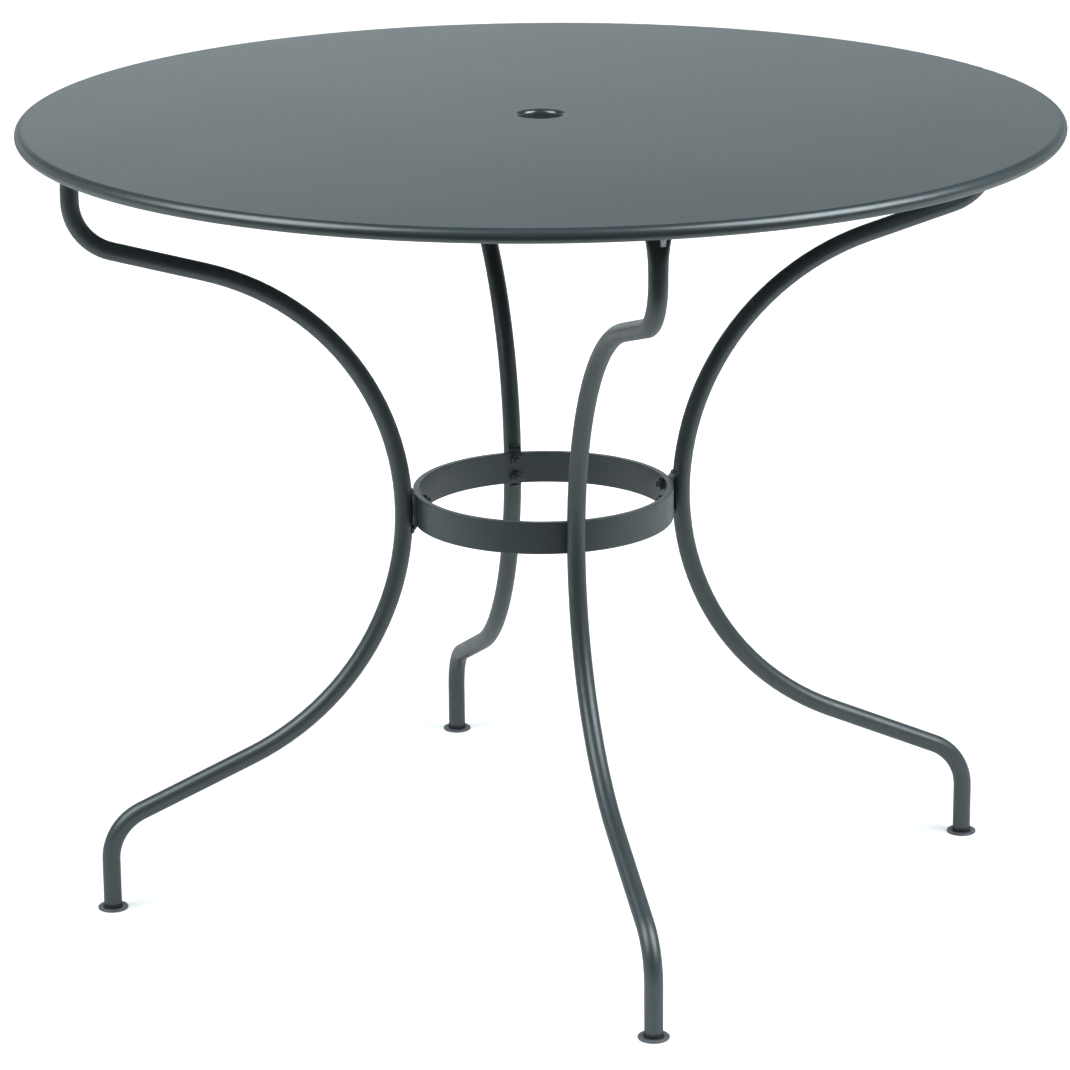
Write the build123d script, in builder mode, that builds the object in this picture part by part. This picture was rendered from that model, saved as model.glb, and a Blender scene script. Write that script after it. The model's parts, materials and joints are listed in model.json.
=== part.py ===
from build123d import *
import os
from math import cos, pi, radians, sin, sqrt, tan

os.makedirs("parts", exist_ok=True)

# Round garden table of sheet steel and bent tube, in millimetres.
# The origin is on the floor under the centre of the top, and +Z is up.

# Whole table
table_height = 740.0
top_diameter = 960.0
leg_azimuths = {"front": -90.0, "right": 0.0, "back": 90.0, "left": 180.0}

# Tabletop sheet, with a rolled rim and a turned-down parasol collar
sheet_thickness = 1.2
rim_roll_diameter = 13.0
rim_roll_sweep = 270.0
parasol_hole = 40.0
collar_lip_radius = 4.0
collar_depth = 16.0

# Tube hoop inside the rolled rim
hoop_clearance = 0.8
hoop_seat_gap = 0.3
hoop_wall = 1.0

# Folded channels under the sheet, one above each leg
channel_width = 32.0
channel_height = 8.0
channel_wall = 1.5
channel_inner_radius = 34.0
channel_end_gap = 1.5

# Legs: round tube bent in a vertical plane
tube_diameter = 17.0
tube_wall = 1.5
foot_circle_radius = 420.0
stub_inset = 45.0
waist_height = 370.0
waist_arc_radius = 250.0
lower_arm_slope = 23.5
upper_arm_slope = 16.0
small_bend_radius = 50.0
stub_straight = 8.0

# Flattened tab at the top of each leg, bolted under its channel
pinch_gap = 0.4
tab_bend_radius = 5.0
stud_offset = 16.0
flatten_steps = 5
section_flat = 0.05

# Waist ring of flat bar
ring_diameter = 245.0
ring_bar_height = 30.0
ring_bar_thickness = 6.0
ring_edge_radius = 0.6

# Hat-shaped bracket between the ring and each leg
bracket_width = 12.0
bracket_wall = 2.5
bracket_depth = 2.8
bracket_flare_rise = 3.3
bracket_wrap = 1.5
bracket_inner_bend = 0.5
fit_gap = 0.1

# Studs screwed into the brackets and welded, with nuts inside the ring
ring_stud_diameter = 6.0
ring_stud_recess = 0.3
ring_stud_end = 3.0
ring_nut_flats = 10.0
ring_nut_height = 5.0
ring_nut_margin = 0.7

# Welded studs that hold the legs to the top, with washers and nuts
stud_diameter = 5.0
stud_drop = 24.0
stud_head_diameter = 12.0
stud_head_height = 1.5
washer_diameter = 10.0
washer_thickness = 1.0
top_nut_flats = 8.0
top_nut_height = 4.0
hole_clearance = 0.4
nut_face_share = 0.95
nut_chamfer_angle = 30.0
thread_gap = 0.05
thread_chamfer = 0.7

# Flanged plug glide in each foot, with a collar under the tube's end
glide_diameter = 28.5
glide_flange = 2.2
glide_edge_radius = 1.0
glide_collar_height = 3.5
glide_collar_overhang = 0.4
glide_plug_length = 20.0
glide_plug_gap = 0.6
glide_plug_chamfer = 1.0
glide_rib_width = 2.0
glide_rib_gap = 0.05

# Worked-out places
rim_radius = rim_roll_diameter / 2
rim_circle_radius = top_diameter / 2 - rim_radius
hole_radius = parasol_hole / 2
under_sheet = table_height - sheet_thickness
hoop_radius = rim_radius - sheet_thickness - hoop_clearance
hoop_height = table_height - rim_radius - hoop_clearance + hoop_seat_gap
tube_radius = tube_diameter / 2
ring_radius = ring_diameter / 2
ring_inner_radius = ring_radius - ring_bar_thickness
waist_radius = ring_radius + bracket_depth + tube_radius
arc_centre_radius = waist_radius + waist_arc_radius
flat_thickness = 2 * tube_wall + pinch_gap
flat_width = flat_thickness + pi / 2 * (tube_diameter - flat_thickness)
stub_circle_radius = top_diameter / 2 - stub_inset
stud_circle_radius = stub_circle_radius + stud_offset
channel_outer_radius = rim_circle_radius - rim_radius - channel_end_gap
tab_top = under_sheet - channel_height
tab_middle = tab_top - flat_thickness / 2
tab_bottom = tab_top - flat_thickness
blade_top = tab_middle - tab_bend_radius
tube_foot = glide_flange + glide_collar_height
stud_hole = stud_diameter + hole_clearance
ring_hole = ring_stud_diameter + hole_clearance
ring_thread_hole = ring_stud_diameter + 2 * thread_gap
ring_stud_pitch = ring_bar_height - ring_nut_flats * 2 / sqrt(3) - 2 * ring_nut_margin
ring_stud_heights = (waist_height - ring_stud_pitch / 2, waist_height + ring_stud_pitch / 2)
web_face = ring_radius + fit_gap
web_back = web_face + bracket_wall
ring_nut_seat = sqrt(ring_inner_radius**2 - (ring_nut_flats / 2) ** 2)
ring_nut_face = ring_nut_seat - ring_nut_height
ring_stud_tip = ring_nut_face - ring_stud_end
washer_top = tab_bottom
top_nut_top = washer_top - washer_thickness
stud_seat = tab_top + channel_wall


def outward(azimuth):
    return Vector(cos(radians(azimuth)), sin(radians(azimuth)), 0)


def radial_planes(radius, heights):
    """Planes that face outward at each leg, one for each height."""
    return [
        Plane(outward(azimuth) * radius + Vector(0, 0, height), (0, 0, 1), outward(azimuth))
        for azimuth in leg_azimuths.values()
        for height in heights
    ]


def stud_planes(height):
    """Level planes on the stud axes."""
    return [
        Plane(outward(azimuth) * stud_circle_radius + Vector(0, 0, height))
        for azimuth in leg_azimuths.values()
    ]


def hex_nut(flats, height, bore):
    """Hexagon nut on the XY plane, chamfered on both faces."""
    face_radius = flats / 2 * nut_face_share
    blank_radius = flats * 0.6
    chamfer_drop = (blank_radius - face_radius) * tan(radians(nut_chamfer_angle))
    with BuildPart() as nut:
        with BuildSketch(Plane.XZ):
            with BuildLine():
                Polyline(
                    (bore / 2, 0),
                    (face_radius, 0),
                    (blank_radius, chamfer_drop),
                    (blank_radius, height - chamfer_drop),
                    (face_radius, height),
                    (bore / 2, height),
                    close=True,
                )
            make_face()
        revolve(axis=Axis.Z)
        with BuildSketch():
            RegularPolygon(flats / 2, 6, major_radius=False)
        extrude(amount=height, mode=Mode.INTERSECT)
    return nut.part


def export_piece(name, part):
    part.label = name
    export_step(part, f"parts/{name}.step")


def export_each_side(name, part):
    """Write one copy for each leg of a piece made on the +X side."""
    for side, azimuth in leg_azimuths.items():
        export_piece(f"{side}_{name}", part.rotate(Axis.Z, azimuth))


# Tabletop
with BuildPart() as tabletop:
    with BuildSketch(Plane.XZ):
        with BuildLine():
            lip_centre = (hole_radius + collar_lip_radius, table_height - collar_lip_radius)
            rim_centre = (rim_circle_radius, table_height - rim_radius)
            collar_bottom = table_height - collar_depth
            lip_top = CenterArc(lip_centre, collar_lip_radius, 180, -90)
            roll_outside = CenterArc(rim_centre, rim_radius, 90, -rim_roll_sweep)
            roll_inside = CenterArc(
                rim_centre, rim_radius - sheet_thickness, 90 - rim_roll_sweep, rim_roll_sweep
            )
            lip_under = CenterArc(lip_centre, collar_lip_radius - sheet_thickness, 90, 90)
            Line(lip_top @ 1, roll_outside @ 0)
            Line(roll_outside @ 1, roll_inside @ 0)
            Line(roll_inside @ 1, lip_under @ 0)
            Polyline(
                lip_under @ 1,
                (hole_radius + sheet_thickness, collar_bottom),
                (hole_radius, collar_bottom),
                lip_top @ 0,
            )
        make_face()
    revolve(axis=Axis.Z)
export_piece("tabletop", tabletop.part)

# Hoop inside the rim, resting in the bottom of the roll
with BuildPart() as rim_hoop:
    with BuildSketch(Plane.XZ):
        with Locations((rim_circle_radius, hoop_height)):
            Circle(hoop_radius)
            Circle(hoop_radius - hoop_wall, mode=Mode.SUBTRACT)
    revolve(axis=Axis.Z)
export_piece("rim_hoop", rim_hoop.part)

# Channel under the sheet, open side up
with BuildPart() as top_channel:
    with BuildSketch(Plane.YZ.offset(channel_inner_radius)):
        with Locations((0, under_sheet)):
            Rectangle(channel_width, channel_height, align=(Align.CENTER, Align.MAX))
            Rectangle(
                channel_width - 2 * channel_wall,
                channel_height - channel_wall,
                align=(Align.CENTER, Align.MAX),
                mode=Mode.SUBTRACT,
            )
    extrude(amount=channel_outer_radius - channel_inner_radius)
    fillet(top_channel.edges().filter_by(Axis.X).group_by(Axis.Z)[0], radius=channel_wall)
    with Locations((stud_circle_radius, 0, stud_seat)):
        Hole(stud_hole / 2, depth=channel_wall)
export_each_side("top_channel", top_channel.part)

# Leg: tube from the foot to the stub above the upper bend, then a squeezed end and a bent tab
lower_turn = 90 - lower_arm_slope
upper_turn = 90 - upper_arm_slope
waist_turn = lower_turn + upper_turn
lower_tangent = (
    arc_centre_radius - waist_arc_radius * sin(radians(lower_arm_slope)),
    waist_height - waist_arc_radius * cos(radians(lower_arm_slope)),
)
upper_tangent = (
    arc_centre_radius - waist_arc_radius * sin(radians(upper_arm_slope)),
    waist_height + waist_arc_radius * cos(radians(upper_arm_slope)),
)
lower_corner = lower_tangent[1] - (foot_circle_radius - lower_tangent[0]) * tan(
    radians(lower_arm_slope)
)
upper_corner = upper_tangent[1] + (stub_circle_radius - upper_tangent[0]) * tan(
    radians(upper_arm_slope)
)
lower_setback = small_bend_radius * tan(radians(lower_turn / 2))
upper_setback = small_bend_radius * tan(radians(upper_turn / 2))
squeeze_start = upper_corner + upper_setback + stub_straight
squeeze_length = blade_top - squeeze_start


def squeezed_section(share):
    """Height, thickness and width of the stub as it is squeezed flat with its girth kept."""
    thickness = tube_diameter - (tube_diameter - flat_thickness) * share**2
    width = thickness + pi / 2 * (tube_diameter - thickness)
    return squeeze_start + squeeze_length * share, thickness, width


squeezed_sections = [squeezed_section(step / flatten_steps) for step in range(flatten_steps + 1)]

with BuildPart() as leg:
    with BuildLine(Plane.XZ):
        foot = Line(
            (foot_circle_radius, tube_foot), (foot_circle_radius, lower_corner - lower_setback)
        )
        lower_bend = JernArc(foot @ 1, foot % 1, small_bend_radius, lower_turn)
        Line(lower_bend @ 1, lower_tangent)
        waist_arc = CenterArc(
            (arc_centre_radius, waist_height), waist_arc_radius, 180 + lower_turn, -waist_turn
        )
        upper_arm = Line(
            waist_arc @ 1,
            (
                stub_circle_radius - upper_setback * cos(radians(upper_arm_slope)),
                upper_corner - upper_setback * sin(radians(upper_arm_slope)),
            ),
        )
        upper_bend = JernArc(upper_arm @ 1, upper_arm % 1, small_bend_radius, upper_turn)
        Line(upper_bend @ 1, (stub_circle_radius, squeeze_start))
    with BuildSketch(Plane((foot_circle_radius, 0, tube_foot))):
        Circle(tube_radius)
        Circle(tube_radius - tube_wall, mode=Mode.SUBTRACT)
    sweep()
    for inset, loft_mode in ((0, Mode.ADD), (tube_wall, Mode.SUBTRACT)):
        for height, thickness, width in squeezed_sections:
            with BuildSketch(Plane((stub_circle_radius, 0, height))):
                RectangleRounded(
                    thickness - 2 * inset,
                    width - 2 * inset + 2 * section_flat,
                    thickness / 2 - inset - section_flat,
                )
        loft(mode=loft_mode)
    with BuildLine(Plane.XZ):
        tab_bend = JernArc((stub_circle_radius, blade_top), (0, 1), tab_bend_radius, -90)
        Line(tab_bend @ 1, (stud_circle_radius + flat_width / 2, tab_middle))
    with BuildSketch(Plane((stub_circle_radius, 0, blade_top))):
        RectangleRounded(flat_thickness, flat_width, flat_thickness / 2 - section_flat)
    sweep()
    with BuildSketch(Plane((stud_circle_radius, 0, tab_bottom))):
        Rectangle(flat_width, 2 * flat_width, align=(Align.MIN, Align.CENTER))
        Circle(flat_width / 2, mode=Mode.SUBTRACT)
    extrude(amount=flat_thickness, mode=Mode.SUBTRACT)
    with Locations((stud_circle_radius, 0, tab_top)):
        Hole(stud_hole / 2, depth=flat_thickness)
export_each_side("leg", leg.part)

# Waist ring
with BuildPart() as waist_ring:
    with BuildSketch(Plane.XZ) as bar_section:
        with Locations((ring_radius, waist_height)):
            Rectangle(ring_bar_thickness, ring_bar_height, align=(Align.MAX, Align.CENTER))
        fillet(bar_section.vertices(), radius=ring_edge_radius)
    revolve(axis=Axis.Z)
    with Locations(*radial_planes(ring_radius, ring_stud_heights)):
        Hole(ring_hole / 2, depth=ring_bar_thickness + ring_edge_radius)
export_piece("waist_ring", waist_ring.part)

# Bracket: a strip bent outward above and below the ring, its ends cut to the tube
flare_end = ring_radius + bracket_depth + bracket_wrap
flare_half_height = (
    ring_bar_height / 2 + bracket_flare_rise * (flare_end - web_face) / bracket_depth
)
with BuildPart() as ring_bracket:
    with BuildSketch(Plane.XZ):
        with BuildLine():
            ring_side = FilletPolyline(
                (flare_end, waist_height + flare_half_height),
                (web_face, waist_height + ring_bar_height / 2),
                (web_face, waist_height - ring_bar_height / 2),
                (flare_end, waist_height - flare_half_height),
                radius=bracket_inner_bend + bracket_wall,
            )
            offset(ring_side, amount=bracket_wall, side=Side.LEFT)
        make_face()
    extrude(amount=bracket_width / 2, both=True)
    with BuildSketch(Plane.XY.offset(waist_height)):
        with Locations((waist_radius, 0)):
            Circle(tube_radius + fit_gap)
    revolve(
        axis=Axis((arc_centre_radius, 0, waist_height), (0, 1, 0)), mode=Mode.SUBTRACT
    )
    with Locations(*[Plane((web_back, 0, z), z_dir=(1, 0, 0)) for z in ring_stud_heights]):
        Hole(ring_thread_hole / 2, depth=bracket_wall)
export_each_side("ring_bracket", ring_bracket.part)

# Studs that stand in the brackets and point inward through the ring, and their nuts
with BuildPart() as ring_studs:
    for tip in radial_planes(ring_stud_tip, ring_stud_heights):
        with BuildSketch(tip):
            Circle(ring_stud_diameter / 2)
    extrude(amount=web_back - ring_stud_recess - ring_stud_tip)
    chamfer(ring_studs.edges().filter_by(GeomType.CIRCLE), length=thread_chamfer)
export_piece("ring_studs", ring_studs.part)

with BuildPart() as ring_nuts:
    with Locations(*radial_planes(ring_nut_face, ring_stud_heights)):
        add(hex_nut(ring_nut_flats, ring_nut_height, ring_thread_hole))
export_piece("ring_nuts", ring_nuts.part)

# Studs welded into the channels
with BuildPart() as top_studs:
    for seat in stud_planes(stud_seat):
        with BuildSketch(seat):
            Circle(stud_head_diameter / 2)
    extrude(amount=stud_head_height)
    for seat in stud_planes(table_height - stud_drop):
        with BuildSketch(seat):
            Circle(stud_diameter / 2)
    extrude(amount=stud_seat - table_height + stud_drop)
    chamfer(top_studs.edges().group_by(Axis.Z)[0], length=thread_chamfer)
export_piece("top_studs", top_studs.part)

# Washers and nuts under the leg tabs
with BuildPart() as top_washers:
    for seat in stud_planes(washer_top - washer_thickness):
        with BuildSketch(seat):
            Circle(washer_diameter / 2)
            Circle(stud_hole / 2, mode=Mode.SUBTRACT)
    extrude(amount=washer_thickness)
export_piece("top_washers", top_washers.part)

with BuildPart() as top_nuts:
    with Locations(*stud_planes(top_nut_top - top_nut_height)):
        add(hex_nut(top_nut_flats, top_nut_height, stud_diameter + 2 * thread_gap))
export_piece("top_nuts", top_nuts.part)

# Foot glide: a flange, a collar that the tube stands on, and a ribbed plug in the bore
bore_radius = tube_radius - tube_wall
with BuildPart() as foot_glide:
    with BuildSketch(Plane((foot_circle_radius, 0, 0))):
        Circle(glide_diameter / 2)
    extrude(amount=glide_flange)
    fillet(foot_glide.edges().filter_by(GeomType.CIRCLE), radius=glide_edge_radius)
    with BuildSketch(Plane((foot_circle_radius, 0, glide_flange))):
        Circle(tube_radius + glide_collar_overhang)
    extrude(amount=glide_collar_height)
    with BuildSketch(Plane((foot_circle_radius, 0, tube_foot))):
        Circle(bore_radius - glide_plug_gap)
    extrude(amount=glide_plug_length)
    chamfer(foot_glide.faces().sort_by(Axis.Z)[-1].edges(), length=glide_plug_chamfer)
    for share in (1 / 3, 2 / 3):
        with BuildSketch(Plane((foot_circle_radius, 0, tube_foot + glide_plug_length * share))):
            Circle(bore_radius - glide_rib_gap)
    extrude(amount=glide_rib_width)
export_each_side("foot_glide", foot_glide.part)
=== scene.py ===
import json
from math import cos, pi, radians, sin, sqrt

import bmesh
import bpy
from mathutils import Matrix, Vector


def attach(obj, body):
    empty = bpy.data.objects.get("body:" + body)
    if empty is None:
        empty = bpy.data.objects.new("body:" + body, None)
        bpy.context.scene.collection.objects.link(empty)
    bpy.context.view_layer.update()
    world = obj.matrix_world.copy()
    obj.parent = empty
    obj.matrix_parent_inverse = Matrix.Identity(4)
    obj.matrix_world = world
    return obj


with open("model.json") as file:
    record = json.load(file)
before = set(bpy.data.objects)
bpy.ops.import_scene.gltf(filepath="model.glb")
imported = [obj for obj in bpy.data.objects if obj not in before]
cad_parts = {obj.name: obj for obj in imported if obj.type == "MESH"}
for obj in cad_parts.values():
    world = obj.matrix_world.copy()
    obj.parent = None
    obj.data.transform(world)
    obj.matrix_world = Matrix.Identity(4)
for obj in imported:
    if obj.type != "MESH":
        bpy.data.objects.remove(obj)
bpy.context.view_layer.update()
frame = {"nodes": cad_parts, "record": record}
scene = bpy.context.scene

# Camera, in metres and degrees; the turn is measured from the +X leg
photo_pixels = 1070
focal_pixels = 4323.5
sensor_width = 36.0
camera_turn = -102.79
camera_distance = 3.9049
camera_height = 1.5171
camera_pitch = 16.82
camera_yaw = -0.12
camera_roll = -0.47

# Soft boxes to the left and right of the camera; their turns are measured from the camera's
box_turn = {"left": -66.0, "right": 69.0}
box_elevation = {"left": 42.0, "right": 43.0}
box_distance = 3.2
box_width = 2.2
box_length = {"left": 2.5, "right": 2.3}
box_power = {"left": 104.0, "right": 130.0}
box_tint = (0.90, 1.0, 1.03)
aim_height = 0.55

# Card behind the table that only reflections show: wide and fading upward, on a narrow brighter foot
card_distance = 1.3
card_width = 4.4
card_foot_width = 1.3
card_heights = (0.40, 0.72, 1.85)
card_strength = 0.71
card_fade = (0.60, 1.80)
card_foot_extra = 1.1
card_foot_fade = (0.68, 0.80)
card_tilt = (0.88, 1.12)
card_tilt_reach = (-0.8, 0.8)

# Surroundings: a pale glow low behind the table and dark elsewhere, but white to the camera itself
white = (1.0, 1.0, 1.0, 1.0)
studio_tint = (0.88, 1.0, 1.03, 1.0)
ceiling_strength = 0.035
glow_strength = 0.5
glow_rise = (0.05, 0.45)
glow_front_share = 0.15
glow_reach = (-0.4, 0.5)

# Floor: white to the camera apart from shadows, and darker to other rays in front of the table
floor_radius = 14.0
floor_sides = 128
floor_drop = 0.0002
floor_albedo = 0.82
front_albedo = 0.10
shade_reach = (-0.55, -1.2)
floor_lift = 0.52
far_lift = 1.0
lift_reach = (0.6, 2.0)
gloss_share = 0.25
gloss_reach = (-0.5, 0.3)

# Dark and light of each cloudy colour, linear
paint = ((0.0290, 0.0394, 0.0427, 1.0), (0.0354, 0.0469, 0.0501, 1.0))
zinc = ((0.48, 0.49, 0.51, 1.0), (0.66, 0.67, 0.69, 1.0))
steel = ((0.22, 0.22, 0.23, 1.0), (0.34, 0.34, 0.35, 1.0))
plastic = ((0.020, 0.020, 0.024, 1.0), (0.119, 0.121, 0.136, 1.0))

# Coats, each grain as its scale and its depth in metres
top_coat = {"colours": paint, "roughness": (0.33, 0.37), "grain": (900.0, 0.0000013)}
frame_coat = {"colours": paint, "roughness": (0.39, 0.45), "grain": (600.0, 0.00001)}
stud_coat = {"colours": paint, "roughness": (0.25, 0.33), "grain": (900.0, 0.00001)}
weld_coat = {"colours": paint, "roughness": (0.24, 0.32), "grain": (500.0, 0.00008)}
zinc_coat = {"colours": zinc, "roughness": (0.22, 0.36), "grain": (1500.0, 0.00001), "metallic": 1.0}
steel_coat = {"colours": steel, "roughness": (0.4, 0.6), "grain": (700.0, 0.00003), "metallic": 1.0}
coat_specular = 0.9

# Noise that all coats share
cloud_scale = 7.0
cloud_detail = 4.0
cloud_range = (0.3, 0.7)
gloss_scale_share = 0.2
gloss_detail = 3.0
gloss_range = (0.25, 0.75)
grain_detail = 2.0
grain_roughness = 0.6

# The sheet is smoother on its flat than on its rolled rim
flat_edge = (0.471, 0.477)
flat_share = 0.6

# Glides: dark on the collar, and the flange paler with random scuffs and painted shade next to the
# collar
foot_circle_radius = 0.420
flange_top = (0.0021, 0.0026)
# Painted shade on the flange next to the collar: its reach from the glide's axis and its levels
collar_shade_reach = (0.0095, 0.0118)
collar_shade_levels = (0.2, 1.0)
scuff_scale = 260.0
scuff_detail = 4.0
scuff_range = (0.25, 0.75)
scuff_strength = (0.75, 1.0)
plastic_roughness = (0.38, 0.5)
plastic_grain = (2200.0, 0.00002)

# Threads, each as the directions that its pitch is measured along and the pitch
top_stud_thread = ((0, 0, 1), 0.0008)
ring_stud_thread = ((1, 1, 0), 0.0010)
thread_depth = 0.0003

# Weld beads where the ends of the ring brackets meet the tubes
leg_turns = {"front": -90.0, "right": 0.0, "back": 90.0, "left": 180.0}
tube_radius = 0.0085
ring_radius = 0.1225
bracket_depth = 0.0028
waist_height = 0.370
waist_arc_radius = 0.250
arc_centre_radius = ring_radius + bracket_depth + tube_radius + waist_arc_radius
bead_rise = 0.0197
bead_radius = 0.0016
bead_stand_off = 0.0004
bead_half_turn = 44.0
bead_rings = 26
bead_sides = 12
bead_end_share = 0.02
coarse_ripple = 0.13
coarse_waves = 9.0
fine_ripple = 0.07
fine_waves = 23.0


def polar(turn, distance, height):
    """Point at a turn about the table's axis."""
    return Vector((cos(radians(turn)) * distance, sin(radians(turn)) * distance, height))


# Directions as the camera sees them: level ahead, level to its left, and up
ahead = -polar(camera_turn, 1, 0)
leftward = polar(camera_turn - 90, 1, 0)
upward = Vector((0, 0, 1))


def build_camera():
    data = bpy.data.cameras.new("photo_camera")
    data.sensor_width = sensor_width
    data.lens = sensor_width * focal_pixels / photo_pixels
    camera = bpy.data.objects.new("photo_camera", data)
    heading = Matrix.Rotation(radians(camera_turn + 90 - camera_yaw), 4, "Z")
    tilt = Matrix.Rotation(radians(90 - camera_pitch), 4, "X")
    roll = Matrix.Rotation(radians(camera_roll), 4, "Z")
    place = Matrix.Translation(polar(camera_turn, camera_distance, camera_height))
    camera.matrix_world = place @ heading @ tilt @ roll
    scene.collection.objects.link(camera)
    scene.camera = camera


def build_soft_box(side):
    data = bpy.data.lights.new(f"{side}_soft_box", "AREA")
    data.shape = "RECTANGLE"
    data.size = box_width
    data.size_y = box_length[side]
    data.energy = box_power[side]
    data.color = box_tint
    lamp = bpy.data.objects.new(f"{side}_soft_box", data)
    level = box_distance * cos(radians(box_elevation[side]))
    rise = box_distance * sin(radians(box_elevation[side]))
    lamp.location = polar(camera_turn + box_turn[side], level, aim_height + rise)
    to_table = Vector((0, 0, aim_height)) - lamp.location
    lamp.rotation_mode = "QUATERNION"
    lamp.rotation_quaternion = to_table.to_track_quat("-Z", "Y")
    lamp.visible_camera = False
    scene.collection.objects.link(lamp)


class Shader:
    """Short calls for adding and joining the nodes of one shader tree."""

    def __init__(self, tree):
        self.nodes = tree.nodes
        self.links = tree.links
        self.nodes.clear()

    def add(self, kind, **inputs):
        """Node whose named inputs are set or joined; an underscore stands for a space."""
        node = self.nodes.new(kind)
        for name, value in inputs.items():
            self.set(node.inputs[name.replace("_", " ")], value)
        return node

    def set(self, socket, value):
        """Join a socket to another one, or give it a constant."""
        if isinstance(value, bpy.types.NodeSocket):
            self.links.new(value, socket)
        else:
            socket.default_value = value

    def place(self):
        """Place on the object, in metres."""
        return self.add("ShaderNodeTexCoord").outputs["Object"]

    def math(self, operation, first, second=0.0):
        node = self.nodes.new("ShaderNodeMath")
        node.operation = operation
        self.set(node.inputs[0], first)
        self.set(node.inputs[1], second)
        return node.outputs[0]

    def ramp(self, value, start, end, low, high):
        """Smooth change from low to high as value goes from start to end."""
        node = self.nodes.new("ShaderNodeMapRange")
        node.interpolation_type = "SMOOTHSTEP"
        for name, number in (("From Min", start), ("From Max", end), ("To Min", low), ("To Max", high)):
            node.inputs[name].default_value = number
        self.set(node.inputs["Value"], value)
        return node.outputs["Result"]

    def vector_math(self, operation, first, second=(0, 0, 0)):
        node = self.nodes.new("ShaderNodeVectorMath")
        node.operation = operation
        self.set(node.inputs[0], first)
        node.inputs[1].default_value = second
        return node.outputs

    def along(self, vector, direction):
        """Part of a vector that lies along a fixed direction."""
        return self.vector_math("DOT_PRODUCT", vector, direction)["Value"]

    def distance(self, vector, scale):
        """Length of a vector whose parts are first scaled."""
        scaled = self.vector_math("MULTIPLY", vector, scale)["Vector"]
        return self.vector_math("LENGTH", scaled)["Value"]

    def noise(self, vector, scale, detail, roughness=0.5):
        node = self.add(
            "ShaderNodeTexNoise", Vector=vector, Scale=scale, Detail=detail, Roughness=roughness
        )
        return node.outputs["Fac"]

    def bump(self, height, depth):
        """Bump node that raises the surface by a depth in metres."""
        return self.add("ShaderNodeBump", Height=height, Strength=1.0, Distance=depth)

    def mix_colour(self, share, first, second):
        node = self.nodes.new("ShaderNodeMix")
        node.data_type = "RGBA"
        self.set(node.inputs["Factor"], share)
        colours = [socket for socket in node.inputs if socket.type == "RGBA"]
        colours[0].default_value = first
        colours[1].default_value = second
        return [socket for socket in node.outputs if socket.type == "RGBA"][0]

    def show(self, surface, output="ShaderNodeOutputMaterial"):
        """Make a surface the result of the tree."""
        self.add(output, Surface=surface.outputs[0])


def new_material(name):
    """Empty material and the shader that fills it."""
    material = bpy.data.materials.new(name)
    material.use_nodes = True
    return material, Shader(material.node_tree)


def add_object(name, shape, material):
    """Turn a finished bmesh into an object of the scene."""
    mesh = bpy.data.meshes.new(name)
    shape.to_mesh(mesh)
    shape.free()
    mesh.materials.append(material)
    item = bpy.data.objects.new(name, mesh)
    scene.collection.objects.link(item)
    return item


def build_world():
    world = bpy.data.worlds.new("studio")
    scene.world = world
    world.use_nodes = True
    shader = Shader(world.node_tree)
    direction = shader.add("ShaderNodeTexCoord").outputs["Generated"]
    glow = shader.ramp(shader.along(direction, upward), *glow_rise, glow_strength, 0.0)
    share = shader.ramp(shader.along(direction, ahead), *glow_reach, glow_front_share, 1.0)
    strength = shader.math("ADD", shader.math("MULTIPLY", glow, share), ceiling_strength)
    direct = shader.add("ShaderNodeLightPath").outputs["Is Camera Ray"]
    background = shader.add(
        "ShaderNodeBackground",
        Color=shader.mix_colour(direct, studio_tint, white),
        Strength=shader.math("MAXIMUM", strength, direct),
    )
    shader.show(background, "ShaderNodeOutputWorld")


def card_material():
    material, shader = new_material("card_paper")
    place = shader.place()
    height = shader.along(place, upward)
    foot = shader.ramp(height, *card_foot_fade, card_foot_extra, 0.0)
    fade = shader.math("ADD", shader.ramp(height, *card_fade, card_strength, 0.0), foot)
    tilt = shader.ramp(shader.along(place, leftward), *card_tilt_reach, *card_tilt)
    strength = shader.math("MULTIPLY", fade, tilt)
    shader.show(shader.add("ShaderNodeEmission", Color=studio_tint, Strength=strength))
    return material


def build_card():
    shape = bmesh.new()
    bottom, shoulder, top = [ahead * card_distance + upward * height for height in card_heights]
    for low, high, width in ((bottom, shoulder, card_foot_width), (shoulder, top, card_width)):
        side = -leftward * width / 2
        corners = (low - side, low + side, high + side, high - side)
        shape.faces.new([shape.verts.new(corner) for corner in corners])
    card = add_object("back_card", shape, card_material())
    card.visible_camera = card.visible_diffuse = card.visible_shadow = False


def floor_material():
    material, shader = new_material("floor_paper")
    path = shader.add("ShaderNodeLightPath").outputs
    place = shader.place()
    behind = shader.along(place, ahead)
    level = shader.ramp(shader.distance(place, (1, 1, 1)), *lift_reach, floor_lift, far_lift)
    mirrored = shader.ramp(behind, *gloss_reach, 0.0, gloss_share)
    gloss = shader.math("MULTIPLY", path["Is Glossy Ray"], mirrored)
    seen = shader.math("MAXIMUM", path["Is Camera Ray"], path["Is Transmission Ray"])
    seen = shader.math("MAXIMUM", seen, gloss)
    lift = shader.add("ShaderNodeEmission", Strength=shader.math("MULTIPLY", seen, level))
    shade = shader.ramp(behind, *shade_reach, floor_albedo, front_albedo)
    direct = shader.math("MULTIPLY", path["Is Camera Ray"], floor_albedo)
    paper = shader.add("ShaderNodeBsdfDiffuse", Color=shader.math("MAXIMUM", shade, direct))
    both = shader.add("ShaderNodeAddShader")
    shader.links.new(paper.outputs[0], both.inputs[0])
    shader.links.new(lift.outputs[0], both.inputs[1])
    shader.show(both)
    return material


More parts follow.
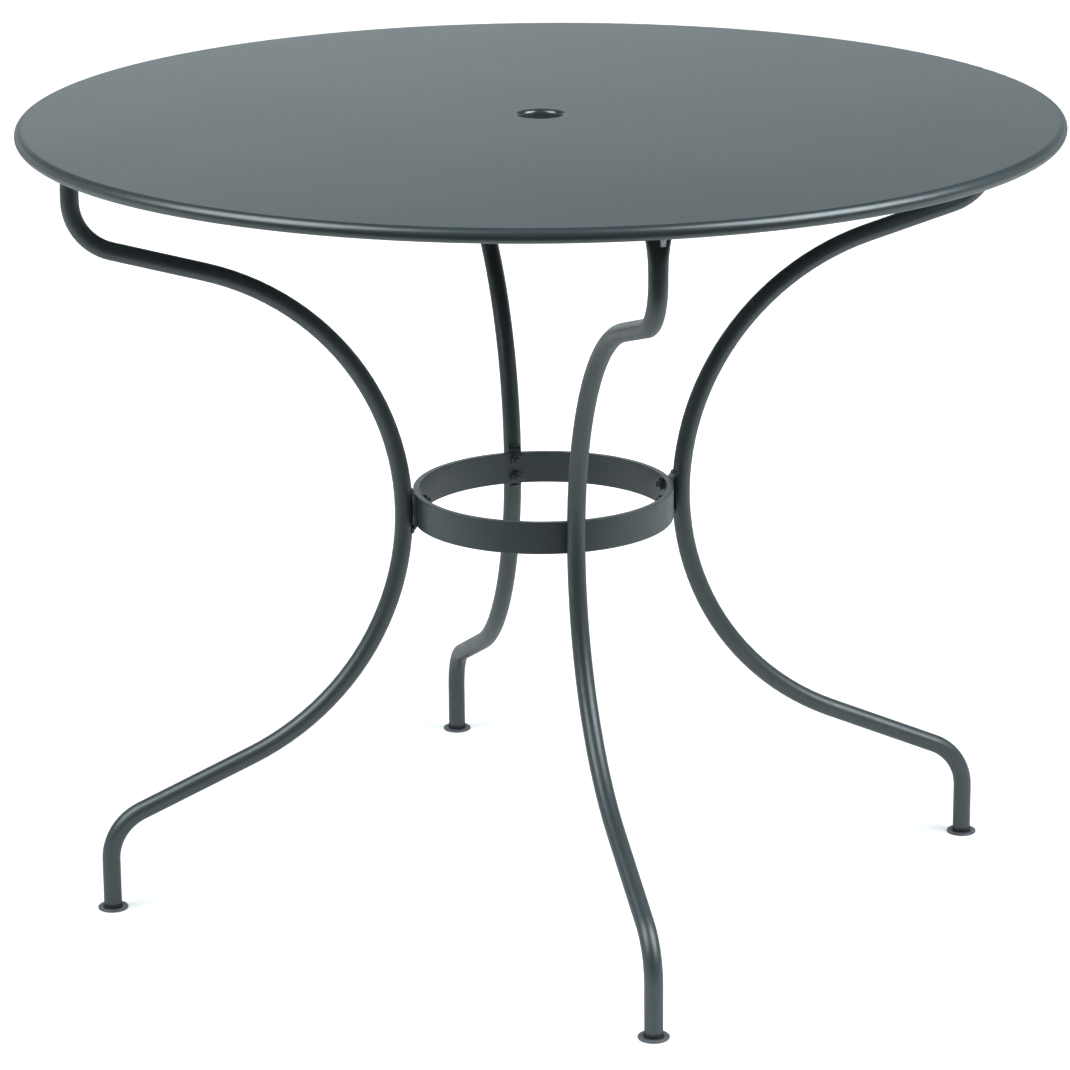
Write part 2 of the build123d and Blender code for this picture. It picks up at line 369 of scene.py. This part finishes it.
def build_floor():
    shape = bmesh.new()
    bmesh.ops.create_circle(shape, cap_ends=True, segments=floor_sides, radius=floor_radius)
    floor = add_object("floor", shape, floor_material())
    floor.location.z = -floor_drop


def coated_material(name, colours, roughness, grain, metallic=0.0, thread=None, flat=None):
    """Cloudy colour, uneven gloss and fine grain, with a smoother flat or a screw thread if given."""
    material, shader = new_material(name)
    place = shader.place()
    grain_scale, grain_depth = grain
    cloud = shader.ramp(shader.noise(place, cloud_scale, cloud_detail), *cloud_range, 0.0, 1.0)
    gloss = shader.noise(place, grain_scale * gloss_scale_share, gloss_detail)
    rough = shader.ramp(gloss, *gloss_range, *roughness)
    bump = shader.bump(shader.noise(place, grain_scale, grain_detail, grain_roughness), grain_depth)
    if flat:
        edge, share = flat
        smooth = shader.ramp(shader.distance(place, (1, 1, 0)), *edge, share, 1.0)
        rough = shader.math("MULTIPLY", rough, smooth)
    if thread:
        axis, pitch = thread
        turns = shader.math("MULTIPLY", shader.distance(place, axis), 2 * pi / pitch)
        groove = shader.bump(shader.math("SINE", turns), thread_depth)
        shader.links.new(groove.outputs["Normal"], bump.inputs["Normal"])
    surface = shader.add(
        "ShaderNodeBsdfPrincipled",
        Base_Color=shader.mix_colour(cloud, *colours),
        Roughness=rough,
        Metallic=metallic,
        Specular_IOR_Level=coat_specular,
        Normal=bump.outputs["Normal"],
    )
    shader.show(surface)
    return material


def glide_axis_distance(shader, place):
    """Distance from the axis of the nearest glide; all four stand on the X and Y axes."""
    along_x = shader.math("ABSOLUTE", shader.along(place, (1, 0, 0)))
    along_y = shader.math("ABSOLUTE", shader.along(place, (0, 1, 0)))
    outward = shader.math("SUBTRACT", shader.math("MAXIMUM", along_x, along_y), foot_circle_radius)
    sideways = shader.math("MINIMUM", along_x, along_y)
    squares = [shader.math("POWER", part, 2.0) for part in (outward, sideways)]
    return shader.math("SQRT", shader.math("ADD", *squares))


def glide_material():
    """Dark moulded plastic whose flange is paler than its collar, with random scuffs and painted shade
    next to the collar.
    """
    material, shader = new_material("glide_plastic")
    place = shader.place()
    grain_scale, grain_depth = plastic_grain
    scuff_noise = shader.noise(place, scuff_scale, scuff_detail, grain_roughness)
    scuff = shader.ramp(scuff_noise, *scuff_range, *scuff_strength)
    flange = shader.ramp(shader.along(place, upward), *flange_top, 1.0, 0.0)
    # Painted shade: the flange is darkened next to the collar and fades out towards the flange's edge
    painted_collar_shade = shader.ramp(glide_axis_distance(shader, place), *collar_shade_reach, *collar_shade_levels)
    pale = shader.math("MULTIPLY", scuff, shader.math("MULTIPLY", flange, painted_collar_shade))
    bump = shader.bump(shader.noise(place, grain_scale, grain_detail, grain_roughness), grain_depth)
    surface = shader.add(
        "ShaderNodeBsdfPrincipled",
        Base_Color=shader.mix_colour(pale, *plastic),
        Roughness=shader.ramp(scuff, *scuff_strength, *plastic_roughness),
        Normal=bump.outputs["Normal"],
    )
    shader.show(surface)
    return material


def dress_nodes(finishes, threaded):
    """Give each CAD node the finish of its slot, or its threaded one."""
    for row in frame["record"]["subparts"]:
        mesh = frame["nodes"][row["node"]].data
        mesh.materials.clear()
        mesh.materials.append(threaded.get(row["node"], finishes[row["material_slot"]]))


def add_bead(shape, turn, up):
    """One rippled bead round the inner side of a tube, at the upper or lower end of its bracket."""
    height = waist_height + up * bead_rise
    axis_radius = arc_centre_radius - sqrt(waist_arc_radius**2 - bead_rise**2)
    spin = Matrix.Rotation(radians(turn), 3, "Z")
    loops = []
    for ring in range(bead_rings + 1):
        share = 2 * ring / bead_rings - 1
        side = radians(bead_half_turn) * share
        coarse = coarse_ripple * sin(coarse_waves * side + turn)
        fine = fine_ripple * sin(fine_waves * side + 2 * up)
        radius = bead_radius * (1 + coarse + fine) * sqrt(max(1 - share**4, bead_end_share))
        away = Vector((-cos(side), sin(side), 0))
        centre = Vector((axis_radius, 0, height)) + away * (tube_radius + bead_stand_off)
        loop = []
        for step in range(bead_sides):
            angle = 2 * pi * step / bead_sides
            point = centre + (away * cos(angle) + upward * sin(angle)) * radius
            loop.append(shape.verts.new(spin @ point))
        loops.append(loop)
    for first, second in zip(loops, loops[1:]):
        for step in range(bead_sides):
            after = (step + 1) % bead_sides
            shape.faces.new((first[step], first[after], second[after], second[step]))
    shape.faces.new(loops[0])
    shape.faces.new(reversed(loops[-1]))


def build_welds(finish):
    for side, turn in leg_turns.items():
        shape = bmesh.new()
        for up in (1, -1):
            add_bead(shape, turn, up)
        bmesh.ops.recalc_face_normals(shape, faces=shape.faces)
        for face in shape.faces:
            face.smooth = True
        welds = add_object(f"{side}_bracket_welds", shape, finish)
        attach(welds, "root")


scene.view_settings.view_transform = "Standard"
build_camera()
for side in box_turn:
    build_soft_box(side)
build_world()
build_card()
build_floor()

finishes = {
    "top_paint": coated_material("top_paint", **top_coat, flat=(flat_edge, flat_share)),
    "frame_paint": coated_material("frame_paint", **frame_coat),
    "zinc_steel": coated_material("zinc_steel", **zinc_coat),
    "plain_steel": coated_material("plain_steel", **steel_coat),
    "glide_plastic": glide_material(),
}
threaded = {
    "top_studs": coated_material("zinc_thread", **zinc_coat, thread=top_stud_thread),
    "ring_studs": coated_material("painted_thread", **stud_coat, thread=ring_stud_thread),
}
dress_nodes(finishes, threaded)
build_welds(coated_material("weld_paint", **weld_coat))
